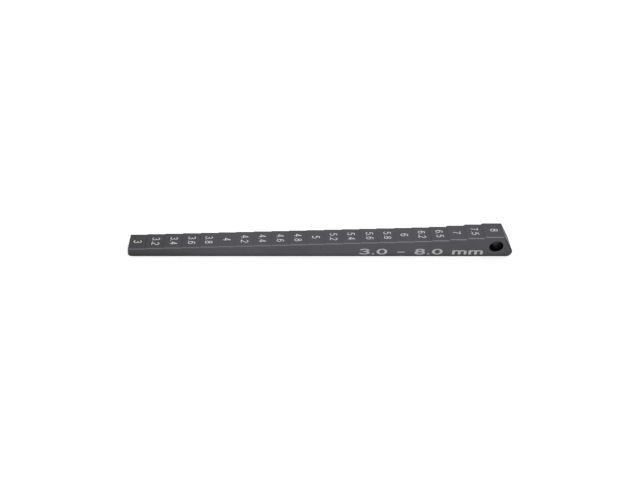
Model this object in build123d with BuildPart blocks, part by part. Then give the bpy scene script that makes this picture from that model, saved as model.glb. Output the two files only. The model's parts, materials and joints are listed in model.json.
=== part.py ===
from build123d import *

import math
import os

# Setup height gauge: one milled bar whose upper side climbs in flat steps.
# All lengths are in millimetres and all angles in degrees.
# X runs from the thin end to the thick end, Y across the bar and Z up from the flat datum face.
# The origin is on the datum face, under the middle of the bar's overall box.

# Heights of the steps above the datum face: a fine series, one change, then a coarse series
lowest_step = 3.0
fine_rise = 0.2
fine_rise_count = 16
change_rise = 0.3
coarse_rise = 0.5
coarse_rise_count = 3

# Lengths of the steps, each measured between the middles of the ramps at its two ends
first_step_length = 5.2
step_pitch = 5.5
last_step_length = 6.2
ramp_angle = 45.0

# The bar: its width, the lean of its two ends and the round lower corner of each
bar_width = 6.8
thin_end_slope = 5.0
thin_end_radius = 1.0
thick_end_slope = 30.0
thick_end_radius = 1.8
step_edge_break = 0.2

# The hanging hole through the thick end
hole_diameter = 4.3
hole_height = 4.0
hole_from_top_corner = 2.1
hole_edge_break = 0.15

# Rises from step to step, thin end first
rises = [fine_rise] * fine_rise_count + [change_rise] + [coarse_rise] * coarse_rise_count
highest_step = lowest_step + sum(rises)

# Places along the bar, measured from the top corner of the thin end
top_corner_x = first_step_length + step_pitch * (len(rises) - 1) + last_step_length
hole_x = top_corner_x - hole_from_top_corner


def end_reach(corner_height, lean, foot_radius):
    """How far a leaning end stands out past its own top corner, at its rounded foot."""
    lean = math.radians(lean)
    return corner_height * math.tan(lean) - foot_radius * ((1 + math.sin(lean)) / math.cos(lean) - 1)


thin_end_reach = end_reach(lowest_step, thin_end_slope, thin_end_radius)
thick_end_reach = end_reach(highest_step, thick_end_slope, thick_end_radius)
overall_length = thin_end_reach + top_corner_x + thick_end_reach


def stepped_outline():
    """The bar seen from its side with sharp corners, from the foot of the thin end and up over the steps."""
    points = [(-lowest_step * math.tan(math.radians(thin_end_slope)), 0), (0, lowest_step)]
    ramp_middle = first_step_length
    height = lowest_step
    for rise in rises:
        half_run = rise / math.tan(math.radians(ramp_angle)) / 2
        points.append((ramp_middle - half_run, height))
        height += rise
        points.append((ramp_middle + half_run, height))
        ramp_middle += step_pitch
    points.append((top_corner_x, highest_step))
    points.append((top_corner_x + highest_step * math.tan(math.radians(thick_end_slope)), 0))
    return points


# The side plane stands in the middle of the width, with its own origin under the top corner of the thin end
stairs_start_x = thin_end_reach - overall_length / 2
side_plane = Plane(origin=(stairs_start_x, 0, 0), x_dir=(1, 0, 0), z_dir=(0, -1, 0))

with BuildPart() as gauge_bar:
    # Stepped body, extruded both ways from the side plane
    with BuildSketch(side_plane) as side_view:
        with BuildLine():
            Polyline(*stepped_outline(), close=True)
        make_face()
        fillet(side_view.vertices().group_by(Axis.Y)[0].sort_by(Axis.X)[0], thin_end_radius)
        fillet(side_view.vertices().group_by(Axis.Y)[0].sort_by(Axis.X)[-1], thick_end_radius)
    extrude(amount=bar_width / 2, both=True)

    # Fine break along both long edges of the steps and ramps; the ends and the datum face stay crisp
    side_lines = gauge_bar.edges().filter_by(Axis.Y, reverse=True)
    over_the_stairs = side_lines.filter_by_position(Axis.X, stairs_start_x, stairs_start_x + top_corner_x)
    chamfer(over_the_stairs.filter_by(lambda edge: edge.center().Z > lowest_step / 2), step_edge_break)

    # Hanging hole, drilled across the bar and eased at both mouths
    with BuildSketch(side_plane):
        with Locations((hole_x, hole_height)):
            Circle(hole_diameter / 2)
    extrude(amount=bar_width / 2, both=True, mode=Mode.SUBTRACT)
    hole_mouths = gauge_bar.edges().filter_by(GeomType.CIRCLE).filter_by(
        lambda edge: math.isclose(edge.radius, hole_diameter / 2, rel_tol=1e-6)
    )
    chamfer(hole_mouths, hole_edge_break)

gauge_bar.part.label = "gauge_bar"

os.makedirs("parts", exist_ok=True)
export_step(gauge_bar.part, "parts/gauge_bar.step")
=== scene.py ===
import bmesh
import bpy
import json
import math
from mathutils import Matrix, Vector
from mathutils.geometry import delaunay_2d_cdt


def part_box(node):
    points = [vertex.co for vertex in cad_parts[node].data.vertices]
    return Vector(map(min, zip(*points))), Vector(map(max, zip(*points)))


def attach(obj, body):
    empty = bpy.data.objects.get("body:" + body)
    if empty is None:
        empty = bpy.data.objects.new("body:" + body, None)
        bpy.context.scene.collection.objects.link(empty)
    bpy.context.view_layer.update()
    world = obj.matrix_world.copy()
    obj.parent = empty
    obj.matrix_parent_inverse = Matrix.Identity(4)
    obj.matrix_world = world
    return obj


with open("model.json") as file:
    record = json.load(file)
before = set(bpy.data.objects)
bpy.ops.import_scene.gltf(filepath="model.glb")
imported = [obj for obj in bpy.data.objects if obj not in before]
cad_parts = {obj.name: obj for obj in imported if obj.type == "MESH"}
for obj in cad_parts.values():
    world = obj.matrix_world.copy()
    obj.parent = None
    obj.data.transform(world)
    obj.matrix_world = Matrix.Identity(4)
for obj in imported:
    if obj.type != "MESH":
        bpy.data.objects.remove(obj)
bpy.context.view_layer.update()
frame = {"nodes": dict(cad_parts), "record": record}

# Stepped height gauge: one anodised bar with a figure on every step and its range on the front side.
# X runs from the thin end to the thick end, Y from the front side to the back side and Z up.
# Lengths are in metres.

MM = 0.001
GAUGE = frame["nodes"]["gauge_bar"]
MOUNTS = {mount["name"]: mount for mount in frame["record"]["mounts"]}
HOLE_CENTRE = Vector(MOUNTS["hanging_hole"]["pos_m"])
HOLE_RADIUS = MOUNTS["hanging_hole"]["dims"]["r_mm"] * MM
LOWEST_STEP = MOUNTS["lowest_step"]["pos_m"][2]
HIGHEST_STEP = MOUNTS["highest_step"]["pos_m"][2]
THIN_END_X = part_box("gauge_bar")[0].x
THICK_END_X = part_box("gauge_bar")[1].x

# How straight up a step face looks at least, and how far a corner may lie below its step's height
# in the record
UPWARD = 0.999
STEP_TOLERANCE = 0.1 * MM

# The thick end: its lean from upright, and the place of its top corner along the bar
THICK_END_LEAN = math.radians(30.0)
CORNERS = [corner.co for corner in GAUGE.data.vertices]
THICK_CORNER_X = max(corner.x for corner in CORNERS if corner.z > HIGHEST_STEP - STEP_TOLERANCE)

# Laser marking: how far it stands out of the bar and how deep its foot lies in it,
# and the look of its bare metal
MARK_STANDS_OUT = 0.008 * MM
MARK_FOOT = 0.02 * MM
MARK_BLUE = 1.015
MARK_TONES = (0.84, 1.16)
MARK_ROUGHNESS = 0.55
MARK_IOR = 1.4
FROST_SIZE = 0.10 * MM
FROST_DEPTH = 0.003 * MM
FROST_ROUGHNESS = 0.2

# Pen type, drawn in a box one unit high: the turn between two points of an arc in degrees, the distances
# under which two ends of a stroke, two crossings and two corners count as one, and the shortest side kept
ARC_STEP = 15
SAME_END = 0.001
SAME_CROSSING = 0.0001
SAME_CORNER = 0.002
SHORTEST_SIDE = 0.001

# Step figures: height where one stands alone and where two share a step, stretch along the line that they
# are read in, pen and room between signs as shares of the height, and how light the bare metal is
FIGURE_HEIGHT = 2.40 * MM
PAIR_HEIGHT = 2.28 * MM
FIGURE_STRETCH = 0.88
FIGURE_PEN = 0.078
FIGURE_SPACING = 0.31
FIGURE_LIGHT = 0.63

# How far the figures sit off the middle of their step: towards the front, towards the thick end,
# and what is added to the latter on some steps
FIGURE_FRONT_SHIFT = 0.06 * MM
FIGURE_SHIFT = 0.03 * MM
FIGURE_EXTRA_SHIFTS = {
    "3.2": 0.15 * MM,
    "3.4": 0.19 * MM,
    "3.6": 0.22 * MM,
    "3.8": -0.03 * MM,
    "4.4": -0.05 * MM,
    "5.6": 0.22 * MM,
    "5.8": 0.27 * MM,
    "6": 0.04 * MM,
    "6.2": 0.07 * MM,
    "6.5": 0.12 * MM,
    "7": -0.16 * MM,
    "7.5": -0.03 * MM,
}

# Range marking on the front side: the same type with a broad pen, drawn wide
RANGE_TEXT = "3.0 - 8.0 mm"
RANGE_HEIGHT = 2.4 * MM
RANGE_STRETCH = 2.38
RANGE_PEN = 0.17
RANGE_SPACING = 0.30
RANGE_MIDDLE_X = 30.9 * MM
RANGE_FOOT_Z = 0.75 * MM
RANGE_LIGHT = 0.276

# Which way a face looks, as the start and end of a mask: across the bar, or up and aside at once
ASIDE = (0.75, 0.95)
SLOPING = (0.25, 0.45)

# Coat: its full colour, the share of it that shows on flat faces, and what blotches and grain do to it
COAT_COLOUR = (0.082, 0.0796, 0.0936, 1.0)
COAT_SHARE = 0.54
COAT_ROUGHNESS = 0.50
COAT_IOR = 1.42
BLOTCH_SIZE = 9.0 * MM
BLOTCH_CONTRAST = 0.25
BLOTCH_ROUGHNESS = 0.12
GRAIN_SIZE = 0.12 * MM
GRAIN_CONTRAST = 0.25
GRAIN_DEPTH = 0.004 * MM

# Painted highlights: eased edges and ramps are lighter in colour than flat faces, as if they caught more
# light, the edges most at the ends; on the ramps at the thin end this turns to painted shade
EDGE_HIGHLIGHT = 0.08
THIN_EDGE_HIGHLIGHT = 0.16
THICK_EDGE_HIGHLIGHT = 0.52
THICK_EDGE_START_X = 20.0 * MM
EDGE_SMOOTHNESS = 0.16
RAMP_HIGHLIGHT = 0.06
THIN_RAMP_SHADE = 0.45

# Painted shade in the coat's colour: on the sides, more low down and along their foot, and towards the
# ends
SIDE_SHADE = 0.10
LOW_SHADE = 0.10
LOW_SHADE_HEIGHTS = (1.9 * MM, 0.6 * MM)
FOOT_SHADE = 0.24
THICK_FOOT_SHADE = 0.15
THICK_FOOT_SPAN = (10.0 * MM, 30.0 * MM)
FOOT_SHADE_HEIGHTS = (0.7 * MM, 0.2 * MM)
THIN_END_SHADE = 0.23
THIN_END_SHADE_LENGTH = 30.0 * MM
THICK_END_SHADE = 0.12
THICK_END_SHADE_LENGTH = 10.0 * MM

# Painted shade on the sides and the eased edges, darkening to a rim along the thick end: by how much, and
# how far from the end that starts and is complete
RIM_SHADE = 0.25
RIM_GAPS = (0.7 * MM, 0.4 * MM)

# The bore is painted near black, as painted shade. Its wall on the thick end's side gets painted light:
# faintly behind the front mouth, and fully from the middle of the bar to the back
BLACK = (0.0, 0.0, 0.0, 1.0)
BORE_PAINTED_SHADE = (0.002, 0.002, 0.0025, 1.0)
BORE_PAINTED_LIGHT = (0.11, 0.108, 0.114, 1.0)
BORE_ROUGHNESS = 0.9
BORE_MARGIN = (0.10 * MM, 0.02 * MM)
BORE_LIT_SIDE = (-0.35 * MM, 0.6 * MM)
BORE_FAINT_LIGHT = 0.15
BORE_FAINT_DEPTHS = (-2.0 * MM, -1.0 * MM)
BORE_FULL_DEPTHS = (-0.6 * MM, 0.1 * MM)

# Camera, as the photograph was taken
CAMERA_PLACE = Vector((-13.892, -178.942, 165.801)) * MM
CAMERA_HEADING = math.radians(4.2177)
CAMERA_DIP = math.radians(42.0926)
CAMERA_ROLL = math.radians(2.9047)
CAMERA_LENS = 43.645
CAMERA_SENSOR_WIDTH = 36.0
CAMERA_NEAR_LIMIT = 1.0 * MM

# Stage and studio light
FLOOR_HALF_SIDE = 3.0
FLOOR_COLOUR = (0.98, 0.98, 0.985, 1.0)
FLOOR_ROUGHNESS = 0.6
SKY_COLOUR = (1.0, 1.0, 1.0, 1.0)
SKY_STRENGTH = 0.95
SOFTBOX_PLACE = (0.10, -0.55, 0.62)
SOFTBOX_WIDTH = 0.40
SOFTBOX_HEIGHT = 0.30
SOFTBOX_POWER = 3.65


class Value:
    """What one node of a finish gives, such as a number or a colour. Maths on numbers reads as sums."""

    def __init__(self, finish, socket):
        self.finish = finish
        self.socket = socket

    def sum_with(self, operation, first, second, clamp=False):
        settings = {"operation": operation, "use_clamp": clamp}
        return self.finish.node("ShaderNodeMath", settings, {0: first, 1: second})["Value"]

    def __add__(self, other):
        return self.sum_with("ADD", self, other)

    __radd__ = __add__

    def __sub__(self, other):
        return self.sum_with("SUBTRACT", self, other)

    def __rsub__(self, other):
        return self.sum_with("SUBTRACT", other, self)

    def __mul__(self, other):
        return self.sum_with("MULTIPLY", self, other)

    __rmul__ = __mul__

    def squared(self):
        return self * self

    def root(self):
        return self.sum_with("SQRT", self, 0.0)

    def size(self):
        """The number without its sign."""
        return self.sum_with("ABSOLUTE", self, 0.0)

    def limited(self):
        """The same number, held between 0 and 1."""
        return self.sum_with("ADD", self, 0.0, clamp=True)

    def rise(self, start, end):
        """0 at and before start, 1 at and past end, and an even slope between them."""
        return ((self - start) * (1.0 / (end - start))).limited()


def spaced(sockets):
    """Socket names as Blender writes them, with a space in place of each _."""
    return {name.replace("_", " "): value for name, value in sockets.items()}


class Finish:
    """A surface finish: a material whose nodes are added one by one and end in one surface shader."""

    def __init__(self, name):
        self.material = bpy.data.materials.new(name)
        self.material.use_nodes = True
        self.tree = self.material.node_tree
        self.surface = self.tree.nodes["Principled BSDF"]

    def node(self, kind, settings=None, inputs=None):
        """Adds a node, with its settings first and then its inputs, and returns its outputs by name."""
        node = self.tree.nodes.new(kind)
        for key, value in (settings or {}).items():
            setattr(node, key, value)
        self.fill(node, inputs or {})
        return {output.name: Value(self, output) for output in node.outputs if output.enabled}

    def fill(self, node, inputs):
        """Sets or links a node's inputs, given by number or by name."""
        by_name = {socket.name: socket for socket in node.inputs if socket.enabled}
        for key, value in inputs.items():
            self.feed(node.inputs[key] if isinstance(key, int) else by_name[key], value)

    def feed(self, socket, value):
        if isinstance(value, Value):
            self.tree.links.new(value.socket, socket)
        else:
            socket.default_value = value

    def set(self, **sockets):
        """Sets or links the surface shader's own sockets, named with _ for a space."""
        self.fill(self.surface, spaced(sockets))

    def shader(self, label, **sockets):
        """A second surface shader, for a part of the surface that has another finish."""
        return self.node("ShaderNodeBsdfPrincipled", {"label": label}, spaced(sockets))["BSDF"]

    def cover(self, share, shader):
        """Shows the second shader in place of the first where share is 1."""
        first = Value(self, self.surface.outputs["BSDF"])
        mixed = self.node("ShaderNodeMixShader", None, {0: share, 1: first, 2: shader})["Shader"]
        self.feed(self.tree.nodes["Material Output"].inputs["Surface"], mixed)

    def place(self):
        """The point on the surface, in the piece's own frame, in metres."""
        return self.node("ShaderNodeTexCoord")["Object"]

    def place_xyz(self):
        return self.parts_of(self.place())

    def facing_xyz(self):
        """The direction that the surface faces, in the piece's own frame."""
        return self.parts_of(self.node("ShaderNodeTexCoord")["Normal"])

    def parts_of(self, vector):
        apart = self.node("ShaderNodeSeparateXYZ", None, {"Vector": vector})
        return apart["X"], apart["Y"], apart["Z"]

    def noise(self, size, detail, roughness):
        """Soft noise about 0.5, with blotches of the given size."""
        return self.node(
            "ShaderNodeTexNoise",
            {"noise_dimensions": "3D"},
            {"Vector": self.place(), "Scale": 1.0 / size, "Detail": detail, "Roughness": roughness},
        )["Fac"]

    def blend(self, share, first, second):
        """The first colour where share is 0, the second where it is 1."""
        settings = {"data_type": "RGBA"}
        return self.node("ShaderNodeMix", settings, {"Factor": share, "A": first, "B": second})["Result"]

    def bump(self, height, distance):
        """Small relief, from a height between 0 and 1 and the depth that it stands for."""
        inputs = {"Height": height, "Distance": distance, "Strength": 1.0}
        return self.node("ShaderNodeBump", None, inputs)["Normal"]


def anodised_finish():
    """Blasted and anodised aluminium: dark grey, nearly matte, with a fine grain and faint blotches.
    Painted shade and painted highlights are mixed into its colour.
    """
    finish = Finish("anodised_dark_grey")
    x, y, z = finish.place_xyz()
    lengthways, sideways, upwards = finish.facing_xyz()
    side = sideways.size().rise(*ASIDE)
    eased_edge = (sideways.size() * upwards).rise(*SLOPING)
    ramp = (-1.0 * lengthways * upwards).rise(*SLOPING)
    blotches = finish.noise(BLOTCH_SIZE, detail=3.0, roughness=0.5)
    grain = finish.noise(GRAIN_SIZE, detail=2.0, roughness=0.6)

    # Painted shade: the colour is darkened towards both ends, on the sides, and more on the sides low down
    # and along their foot
    thin_end = x.rise(THIN_END_X + THIN_END_SHADE_LENGTH, THIN_END_X)
    thick_end = x.rise(THICK_END_X - THICK_END_SHADE_LENGTH, THICK_END_X)
    end_shade = THIN_END_SHADE * thin_end + THICK_END_SHADE * thick_end
    foot_shade = FOOT_SHADE + THICK_FOOT_SHADE * x.rise(*THICK_FOOT_SPAN)
    foot_shade = foot_shade * z.rise(*FOOT_SHADE_HEIGHTS)
    side_shade = side * (SIDE_SHADE + LOW_SHADE * z.rise(*LOW_SHADE_HEIGHTS) + foot_shade)
    # Painted shade along the thick end's edge, on the sides and the eased edges
    thick_end_gap = THICK_CORNER_X + math.tan(THICK_END_LEAN) * (HIGHEST_STEP - z) - x
    rim = thick_end_gap.rise(*RIM_GAPS)
    rim_shade = RIM_SHADE * rim * (side + eased_edge)
    # Painted highlight on the eased edges and ramps, and painted shade on the ramps at the thin end
    thick_edge_highlight = THICK_EDGE_HIGHLIGHT * x.rise(THICK_EDGE_START_X, THICK_END_X)
    edge_highlight = eased_edge * (EDGE_HIGHLIGHT + THIN_EDGE_HIGHLIGHT * thin_end + thick_edge_highlight) * (1 - rim)
    ramp_light_and_shade = ramp * (RAMP_HIGHLIGHT - THIN_RAMP_SHADE * thin_end)
    share = COAT_SHARE + BLOTCH_CONTRAST * (blotches - 0.5) + GRAIN_CONTRAST * (grain - 0.5)
    share = share - end_shade * (1 - eased_edge) - side_shade - rim_shade + edge_highlight + ramp_light_and_shade
    finish.set(
        Base_Color=finish.blend(share.limited(), BLACK, COAT_COLOUR),
        Metallic=0.0,
        Roughness=COAT_ROUGHNESS + BLOTCH_ROUGHNESS * blotches - EDGE_SMOOTHNESS * eased_edge,
        Normal=finish.bump(grain, GRAIN_DEPTH),
        IOR=COAT_IOR,
    )

    # The bore: painted near-black shade, with a painted pool of light on its wall towards the thick end
    off_axis = ((x - HOLE_CENTRE.x).squared() + (z - HOLE_CENTRE.z).squared()).root()
    in_bore = off_axis.rise(*[HOLE_RADIUS + margin for margin in BORE_MARGIN])
    faint_light = BORE_FAINT_LIGHT * y.rise(*BORE_FAINT_DEPTHS)
    full_light = (1 - BORE_FAINT_LIGHT) * y.rise(*BORE_FULL_DEPTHS)
    bore_light = (faint_light + full_light) * (x - HOLE_CENTRE.x).rise(*BORE_LIT_SIDE)
    bore_painted_shading = finish.blend(bore_light, BORE_PAINTED_SHADE, BORE_PAINTED_LIGHT)
    finish.cover(in_bore, finish.shader("bore", Base_Color=bore_painted_shading, Roughness=BORE_ROUGHNESS, IOR=1.0))
    return finish.material


def marking_finish(name, light):
    """Laser marking: the bare grey of the metal under the dark coat, matte and slightly frosted."""
    finish = Finish(name)
    frost = finish.noise(FROST_SIZE, detail=2.0, roughness=0.6)
    dim, bright = [(light * tone, light * tone, light * tone * MARK_BLUE, 1.0) for tone in MARK_TONES]
    finish.set(
        Base_Color=finish.blend(frost, dim, bright),
        Metallic=0.0,
        Roughness=MARK_ROUGHNESS + FROST_ROUGHNESS * frost,
        Normal=finish.bump(frost, FROST_DEPTH),
        IOR=MARK_IOR,
    )
    return finish.material


def floor_finish():
    finish = Finish("pale_floor")
    finish.set(Base_Color=FLOOR_COLOUR, Roughness=FLOOR_ROUGHNESS)
    return finish.material


def step_places():
    """Height in millimetres and middle along the bar of every step, read from the upward faces."""
    corners = {}
    mesh = GAUGE.data
    for face in mesh.polygons:
        height = mesh.vertices[face.vertices[0]].co.z
        if face.normal.z > UPWARD and height > LOWEST_STEP - STEP_TOLERANCE:
            xs = corners.setdefault(round(height / MM, 2), [])
            xs.extend(mesh.vertices[i].co.x for i in face.vertices)
    return [(height, (min(xs) + max(xs)) / 2) for height, xs in sorted(corners.items())]


def arc(middle, across, high, start, end):
    """Points along part of an oval, from one angle to another in degrees."""
    x, y = middle
    steps = round(abs(end - start) / ARC_STEP)
    turns = [math.radians(start + (end - start) * step / steps) for step in range(steps + 1)]
    return [Vector((x + across * math.cos(turn), y + high * math.sin(turn))) for turn in turns]


def line(*corners):
    return [Vector(corner) for corner in corners]


def figure_two():
    neck_and_head = arc((0.26, 0.73), 0.25, 0.27, 165, -40) + line((0.0, 0.0))
    return 0.52, [neck_and_head, line((0.0, 0.0), (0.52, 0.0))]


def figure_three():
    return 0.52, [arc((0.25, 0.76), 0.23, 0.24, 155, -90), arc((0.25, 0.26), 0.27, 0.26, 90, -155)]


def figure_four():
    post = line((0.38, 0.0), (0.38, 1.0))
    slope = line((0.38, 1.0), (0.0, 0.29))
    bar = line((0.0, 0.29), (0.54, 0.29))
    return 0.54, [post, slope, bar]


def figure_five():
    bowl = arc((0.25, 0.32), 0.26, 0.32, 140, -155)
    return 0.52, [line((0.48, 1.0), (0.12, 1.0)), line((0.12, 1.0), bowl[0]), bowl]


def figure_six():
    curl = arc((0.30, 0.80), 0.19, 0.20, 10, 90)
    back = arc((0.30, 0.42), 0.28, 0.58, 105, 180)
    bowl = arc((0.27, 0.31), 0.25, 0.31, 180, 510)
    return 0.52, [curl + back + bowl]


def figure_seven():
    return 0.52, [line((0.0, 1.0), (0.52, 1.0)), line((0.52, 1.0), (0.31, 0.55), (0.21, 0.0))]


def figure_eight():
    return 0.52, [arc((0.26, 0.77), 0.22, 0.23, 90, 450), arc((0.26, 0.265), 0.26, 0.265, 90, 450)]


def letter_m():
    post = line((0.0, 0.0), (0.0, 0.70))
    first_arch = arc((0.19, 0.50), 0.19, 0.20, 150, 0) + line((0.38, 0.0))
    second_arch = arc((0.57, 0.50), 0.19, 0.20, 150, 0) + line((0.76, 0.0))
    return 0.76, [post, first_arch, second_arch]


# The type: the width of each sign and the strokes of its pen, in a box one unit high
SIGNS = {
    " ": (0.20, []),
    ".": (0.0, [line((0.0, 0.0), (0.0, 0.05))]),
    "-": (0.32, [line((0.0, 0.40), (0.32, 0.40))]),
    "0": (0.52, [arc((0.26, 0.50), 0.26, 0.50, 90, 450)]),
    "2": figure_two(),
    "3": figure_three(),
    "4": figure_four(),
    "5": figure_five(),
    "6": figure_six(),
    "7": figure_seven(),
    "8": figure_eight(),
    "m": letter_m(),
}


def pen_patches(strokes, pen):
    """What a round pen covers: a four-cornered patch for each stretch and a dot at each open end."""
    patches = []
    ends = {}
    for points in strokes:
        last = len(points) - 1
        closed = last > 1 and (points[0] - points[last]).length < SAME_END
        sides = []
        for i, point in enumerate(points):
            before, after = points[max(i - 1, 0)], points[min(i + 1, last)]
            if closed and i in (0, last):
                before, after = points[last - 1], points[1]
            ahead = (after - before).normalized()
            across = Vector((-ahead.y, ahead.x)) * pen / 2
            sides.append((point - across, point + across))
        for (right, left), (next_right, next_left) in zip(sides, sides[1:]):
            patches.append([right, next_right, next_left, left])
        if not closed:
            ends.update({(round(end.x, 4), round(end.y, 4)): end for end in (points[0], points[last])})
    return patches + [arc(end, pen / 2, pen / 2, 0, 360 - ARC_STEP) for end in ends.values()]


def draw(shape, strokes, pen):
    """Adds the area that the pen covers to a flat drawing, as triangles that meet edge to edge."""
    corners, outlines = [], []
    for patch in pen_patches(strokes, pen):
        outlines.append(list(range(len(corners), len(corners) + len(patch))))
        corners += patch
    corners, _, faces, _, _, origins = delaunay_2d_cdt(corners, [], outlines, 0, SAME_CROSSING)
    corners = [shape.verts.new((corner.x, corner.y, 0.0)) for corner in corners]
    for face, origin in zip(faces, origins):
        if origin:
            shape.faces.new([corners[i] for i in face])


def mark(name, text, height, stretch, pen, spacing, material):
    """One marking as thin closed solids, centred on its own origin, read along its own X and facing +Z."""
    shape = bmesh.new()
    start = 0.0
    for sign in text:
        width, strokes = SIGNS[sign]
        if strokes:
            draw(shape, [[point + Vector((start, 0.0)) for point in stroke] for stroke in strokes], pen)
        start += width + spacing
    loose_corners = [corner for corner in shape.verts if not corner.link_faces]
    bmesh.ops.delete(shape, geom=loose_corners, context="VERTS")
    bmesh.ops.remove_doubles(shape, verts=shape.verts, dist=SAME_CORNER)
    bmesh.ops.dissolve_degenerate(shape, edges=shape.edges, dist=SHORTEST_SIDE)
    raised = bmesh.ops.extrude_face_region(shape, geom=shape.faces[:])["geom"]
    raised = [item for item in raised if isinstance(item, bmesh.types.BMVert)]
    bmesh.ops.translate(shape, verts=raised, vec=(0.0, 0.0, 1.0))
    bmesh.ops.recalc_face_normals(shape, faces=shape.faces)

    unit = height / (1.0 + pen)
    middle = Vector(((start - spacing) / 2, 0.5, 0.0))
    scale = Matrix.Diagonal((unit * stretch, unit, MARK_STANDS_OUT + MARK_FOOT, 1.0))
    shape.transform(scale @ Matrix.Translation(-middle))
    shape.transform(Matrix.Translation((0.0, 0.0, -MARK_FOOT)))
    mesh = bpy.data.meshes.new(name)
    shape.to_mesh(mesh)
    shape.free()
    mesh.materials.append(material)
    piece = bpy.data.objects.new(name, mesh)
    bpy.context.scene.collection.objects.link(piece)
    return piece


def lay_on(piece, place, reading, upward):
    """Turns a marking to read along one direction, with its tops towards another, and sets it down."""
    reading, upward = Vector(reading), Vector(upward)
    turn = Matrix((reading, upward, reading.cross(upward))).transposed().to_4x4()
    piece.data.transform(Matrix.Translation(place) @ turn)
    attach(piece, "root")


def mark_the_steps(material):
    for step, middle in step_places():
        text = f"{step:g}"
        name = "step_figure_" + text.replace(".", "_")
        height = PAIR_HEIGHT if "." in text else FIGURE_HEIGHT
        piece = mark(name, text, height, FIGURE_STRETCH, FIGURE_PEN, FIGURE_SPACING, material)
        shift = FIGURE_SHIFT + FIGURE_EXTRA_SHIFTS.get(text, 0.0)
        place = Vector((middle + shift, -FIGURE_FRONT_SHIFT, step * MM))
        lay_on(piece, place, reading=(0, -1, 0), upward=(1, 0, 0))


def mark_the_range(material):
    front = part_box("gauge_bar")[0].y
    name = "range_marking"
    piece = mark(name, RANGE_TEXT, RANGE_HEIGHT, RANGE_STRETCH, RANGE_PEN, RANGE_SPACING, material)
    place = Vector((RANGE_MIDDLE_X, front, RANGE_FOOT_Z + RANGE_HEIGHT / 2))
    lay_on(piece, place, reading=(1, 0, 0), upward=(0, 0, 1))


def make_floor():
    mesh = bpy.data.meshes.new("floor")
    side = FLOOR_HALF_SIDE
    corners = [(-side, -side, 0), (side, -side, 0), (side, side, 0), (-side, side, 0)]
    mesh.from_pydata(corners, [], [(0, 1, 2, 3)])
    mesh.materials.append(floor_finish())
    floor = bpy.data.objects.new("floor", mesh)
    bpy.context.scene.collection.objects.link(floor)


def make_soft_light(name, place, target, width, height, power):
    """A softbox: a rectangle of even light that faces a point."""
    lamp = bpy.data.lights.new(name, "AREA")
    lamp.shape = "RECTANGLE"
    lamp.size = width
    lamp.size_y = height
    lamp.energy = power
    light = bpy.data.objects.new(name, lamp)
    light.location = place
    light.rotation_euler = (target - place).to_track_quat("-Z", "Y").to_euler()
    bpy.context.scene.collection.objects.link(light)


def light_the_studio():
    sky = bpy.data.worlds.new("studio")
    sky.use_nodes = True
    background = sky.node_tree.nodes["Background"]
    background.inputs["Color"].default_value = SKY_COLOUR
    background.inputs["Strength"].default_value = SKY_STRENGTH
    bpy.context.scene.world = sky
    place, middle = Vector(SOFTBOX_PLACE), Vector((0.0, 0.0, 0.0))
    make_soft_light("front_softbox", place, middle, SOFTBOX_WIDTH, SOFTBOX_HEIGHT, SOFTBOX_POWER)


def make_camera():
    lens = bpy.data.cameras.new("camera")
    lens.lens = CAMERA_LENS
    lens.sensor_width = CAMERA_SENSOR_WIDTH
    lens.clip_start = CAMERA_NEAR_LIMIT
    camera = bpy.data.objects.new("camera", lens)
    heading = Matrix.Rotation(-CAMERA_HEADING, 4, "Z")
    dip = Matrix.Rotation(math.pi / 2 - CAMERA_DIP, 4, "X")
    roll = Matrix.Rotation(CAMERA_ROLL, 4, "Z")
    camera.matrix_world = Matrix.Translation(CAMERA_PLACE) @ heading @ dip @ roll
    bpy.context.scene.collection.objects.link(camera)
    bpy.context.scene.camera = camera


GAUGE.data.materials.clear()
GAUGE.data.materials.append(anodised_finish())
mark_the_steps(marking_finish("laser_marking", FIGURE_LIGHT))
mark_the_range(marking_finish("faint_laser_marking", RANGE_LIGHT))
make_floor()
light_the_studio()
make_camera()
bpy.context.scene.view_settings.view_transform = "Standard"
